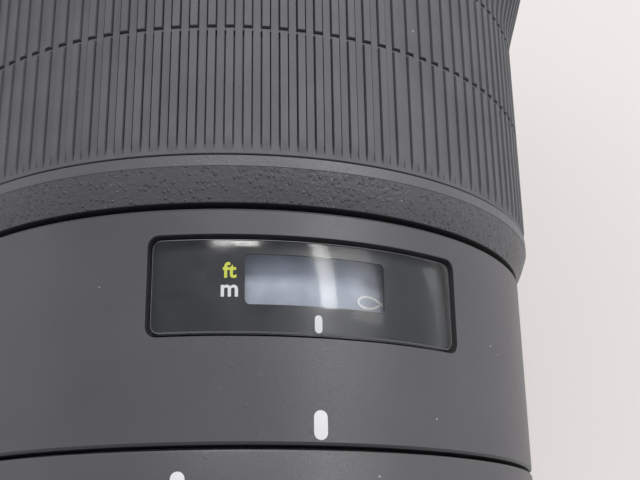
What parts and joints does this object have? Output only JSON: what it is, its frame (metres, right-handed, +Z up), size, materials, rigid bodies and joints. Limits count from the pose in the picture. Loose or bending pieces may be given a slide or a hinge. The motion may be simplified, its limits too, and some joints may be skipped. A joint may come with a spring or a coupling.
{
  "type": "prime camera lens",
  "caption": "Fast short-telephoto prime lens with a ribbed focus ring, a distance window and a rotating tripod collar, on its foot.",
  "frame": {"origin": "centre of the tripod foot's flat underside", "axes": "+Z up through the foot to the lens axis, +Y along the lens axis towards the front glass, +X to the right seen from behind"},
  "size_m": [0.1267, 0.1607, 0.1399],
  "materials": {
    "black_paint": "fine matt black paint",
    "grip_rubber": "ribbed moulded rubber, dusty matt",
    "seal_rubber": "matt rubber",
    "black_plastic": "moulded, fine grain",
    "gloss_black": "polished black print behind the pane",
    "clear_glass": "coated optical glass",
    "pane_glass": "clear hard-coated window",
    "chromed_brass": "turned and chromed",
    "steel": "turned",
    "blade_steel": "black coated spring steel",
    "brass": "turned",
    "aluminium": "turned, anodised",
    "drum_grey": "dark grey scale drum",
    "board": "solder mask"
  },
  "bodies": {
    "foot": {"tripod_foot": "black_paint", "collar_ring": "black_paint", "foot_screw_1": "steel", "foot_screw_2": "steel"},
    "clamp_shoe": {"clamp_shoe": "brass"},
    "clamp_knob": {"clamp_screw": "steel", "clamp_knob": "seal_rubber"},
    "barrel": {"rear_barrel": "black_paint", "window_barrel": "black_paint", "window_pane": "pane_glass", "window_mask": "gloss_black", "switch_plate": "black_plastic", "mount_bayonet": "chromed_brass", "mount_screw_1": "steel", "mount_screw_2": "steel", "mount_screw_3": "steel", "mount_screw_4": "steel", "mount_seal": "seal_rubber", "contact_block": "black_plastic", "rear_baffle": "black_plastic", "inner_barrel": "aluminium", "front_barrel": "black_paint", "front_ring": "black_plastic", "front_cell": "black_paint", "front_element": "clear_glass", "second_element": "clear_glass", "third_element": "clear_glass", "middle_cell": "black_paint", "fourth_element": "clear_glass", "fifth_element": "clear_glass", "rear_cell": "black_paint", "eighth_element": "clear_glass", "ninth_element": "clear_glass", "rear_element": "clear_glass", "iris_housing": "black_paint", "motor_stator": "brass", "circuit_board": "board"},
    "focus_ring": {"focus_ring": "black_paint", "grip_rubber": "grip_rubber"},
    "cam_tube": {"cam_tube": "brass", "scale_drum": "drum_grey"},
    "focus_cell": {"focus_cell": "aluminium", "sixth_element": "clear_glass", "seventh_element": "clear_glass", "cam_follower_1": "steel", "cam_follower_2": "steel", "cam_follower_3": "steel"},
    "iris_drive": {"iris_drive_ring": "steel"},
    "motor_rotor": {"motor_rotor": "steel"},
    "switch_slider": {"switch_slider": "black_plastic"},
    "iris_blade_1": {"iris_blade_1": "blade_steel"},
    "iris_blade_2": {"iris_blade_2": "blade_steel"},
    "iris_blade_3": {"iris_blade_3": "blade_steel"},
    "iris_blade_4": {"iris_blade_4": "blade_steel"},
    "iris_blade_5": {"iris_blade_5": "blade_steel"},
    "iris_blade_6": {"iris_blade_6": "blade_steel"},
    "iris_blade_7": {"iris_blade_7": "blade_steel"},
    "iris_blade_8": {"iris_blade_8": "blade_steel"},
    "iris_blade_9": {"iris_blade_9": "blade_steel"}
  },
  "joints": [
    {"name": "collar_turn", "type": "hinge", "parent": "foot", "child": "barrel", "pos_m": [0, -0.026, 0.082], "axis": [0, 1, 0], "continuous": true},
    {"name": "clamp_shoe_slide", "type": "slide", "parent": "foot", "child": "clamp_shoe", "axis": [-1, 0, 0], "range_m": [0, 0.001]},
    {"name": "clamp_knob_turn", "type": "hinge", "parent": "clamp_shoe", "child": "clamp_knob", "pos_m": [-0.063, -0.026, 0.082], "axis": [-1, 0, 0], "range_deg": [0, 360]},
    {"name": "focus_ring_turn", "type": "hinge", "parent": "barrel", "child": "focus_ring", "pos_m": [0, 0.046, 0.082], "axis": [0, 1, 0], "range_deg": [-150, 0]},
    {"name": "cam_tube_turn", "type": "hinge", "parent": "barrel", "child": "cam_tube", "pos_m": [0, 0.006, 0.082], "axis": [0, 1, 0], "range_deg": [-75, 0]},
    {"name": "focus_cell_slide", "type": "slide", "parent": "barrel", "child": "focus_cell", "axis": [0, 1, 0], "range_m": [0, 0.006]},
    {"name": "iris_drive_turn", "type": "hinge", "parent": "barrel", "child": "iris_drive", "pos_m": [0, 0.03, 0.082], "axis": [0, 1, 0], "range_deg": [0, 20]},
    {"name": "motor_rotor_turn", "type": "hinge", "parent": "barrel", "child": "motor_rotor", "pos_m": [0, 0.044, 0.082], "axis": [0, 1, 0], "continuous": true},
    {"name": "focus_switch_slide", "type": "slide", "parent": "barrel", "child": "switch_slider", "axis": [0, 1, 0], "range_m": [-0.0036, 0]},
    {"name": "iris_blade_1_swing", "type": "hinge", "parent": "barrel", "child": "iris_blade_1", "pos_m": [0.01149, 0.0296, 0.1124], "axis": [0, 1, 0], "range_deg": [0, 28]},
    {"name": "iris_blade_2_swing", "type": "hinge", "parent": "barrel", "child": "iris_blade_2", "pos_m": [0.02834, 0.0296, 0.09791], "axis": [0, 1, 0], "range_deg": [0, 28]},
    {"name": "iris_blade_3_swing", "type": "hinge", "parent": "barrel", "child": "iris_blade_3", "pos_m": [0.03193, 0.0296, 0.07597], "axis": [0, 1, 0], "range_deg": [0, 28]},
    {"name": "iris_blade_4_swing", "type": "hinge", "parent": "barrel", "child": "iris_blade_4", "pos_m": [0.02058, 0.0296, 0.05685], "axis": [0, 1, 0], "range_deg": [0, 28]},
    {"name": "iris_blade_5_swing", "type": "hinge", "parent": "barrel", "child": "iris_blade_5", "pos_m": [-0.0004, 0.0296, 0.0495], "axis": [0, 1, 0], "range_deg": [0, 28]},
    {"name": "iris_blade_6_swing", "type": "hinge", "parent": "barrel", "child": "iris_blade_6", "pos_m": [-0.02119, 0.0296, 0.05736], "axis": [0, 1, 0], "range_deg": [0, 28]},
    {"name": "iris_blade_7_swing", "type": "hinge", "parent": "barrel", "child": "iris_blade_7", "pos_m": [-0.03207, 0.0296, 0.07675], "axis": [0, 1, 0], "range_deg": [0, 28]},
    {"name": "iris_blade_8_swing", "type": "hinge", "parent": "barrel", "child": "iris_blade_8", "pos_m": [-0.02795, 0.0296, 0.09859], "axis": [0, 1, 0], "range_deg": [0, 28]},
    {"name": "iris_blade_9_swing", "type": "hinge", "parent": "barrel", "child": "iris_blade_9", "pos_m": [-0.01074, 0.0296, 0.11267], "axis": [0, 1, 0], "range_deg": [0, 28]}
  ],
  "couplings": [
    {"joint": "clamp_shoe_slide", "follows": "clamp_knob_turn", "m_per_rad": 0.00015915},
    {"joint": "cam_tube_turn", "follows": "focus_ring_turn", "ratio": 0.5},
    {"joint": "focus_cell_slide", "follows": "focus_ring_turn", "m_per_rad": -0.0022918},
    {"joint": "iris_blade_1_swing", "follows": "iris_drive_turn", "ratio": 1.4},
    {"joint": "iris_blade_2_swing", "follows": "iris_drive_turn", "ratio": 1.4},
    {"joint": "iris_blade_3_swing", "follows": "iris_drive_turn", "ratio": 1.4},
    {"joint": "iris_blade_4_swing", "follows": "iris_drive_turn", "ratio": 1.4},
    {"joint": "iris_blade_5_swing", "follows": "iris_drive_turn", "ratio": 1.4},
    {"joint": "iris_blade_6_swing", "follows": "iris_drive_turn", "ratio": 1.4},
    {"joint": "iris_blade_7_swing", "follows": "iris_drive_turn", "ratio": 1.4},
    {"joint": "iris_blade_8_swing", "follows": "iris_drive_turn", "ratio": 1.4},
    {"joint": "iris_blade_9_swing", "follows": "iris_drive_turn", "ratio": 1.4}
  ]
}
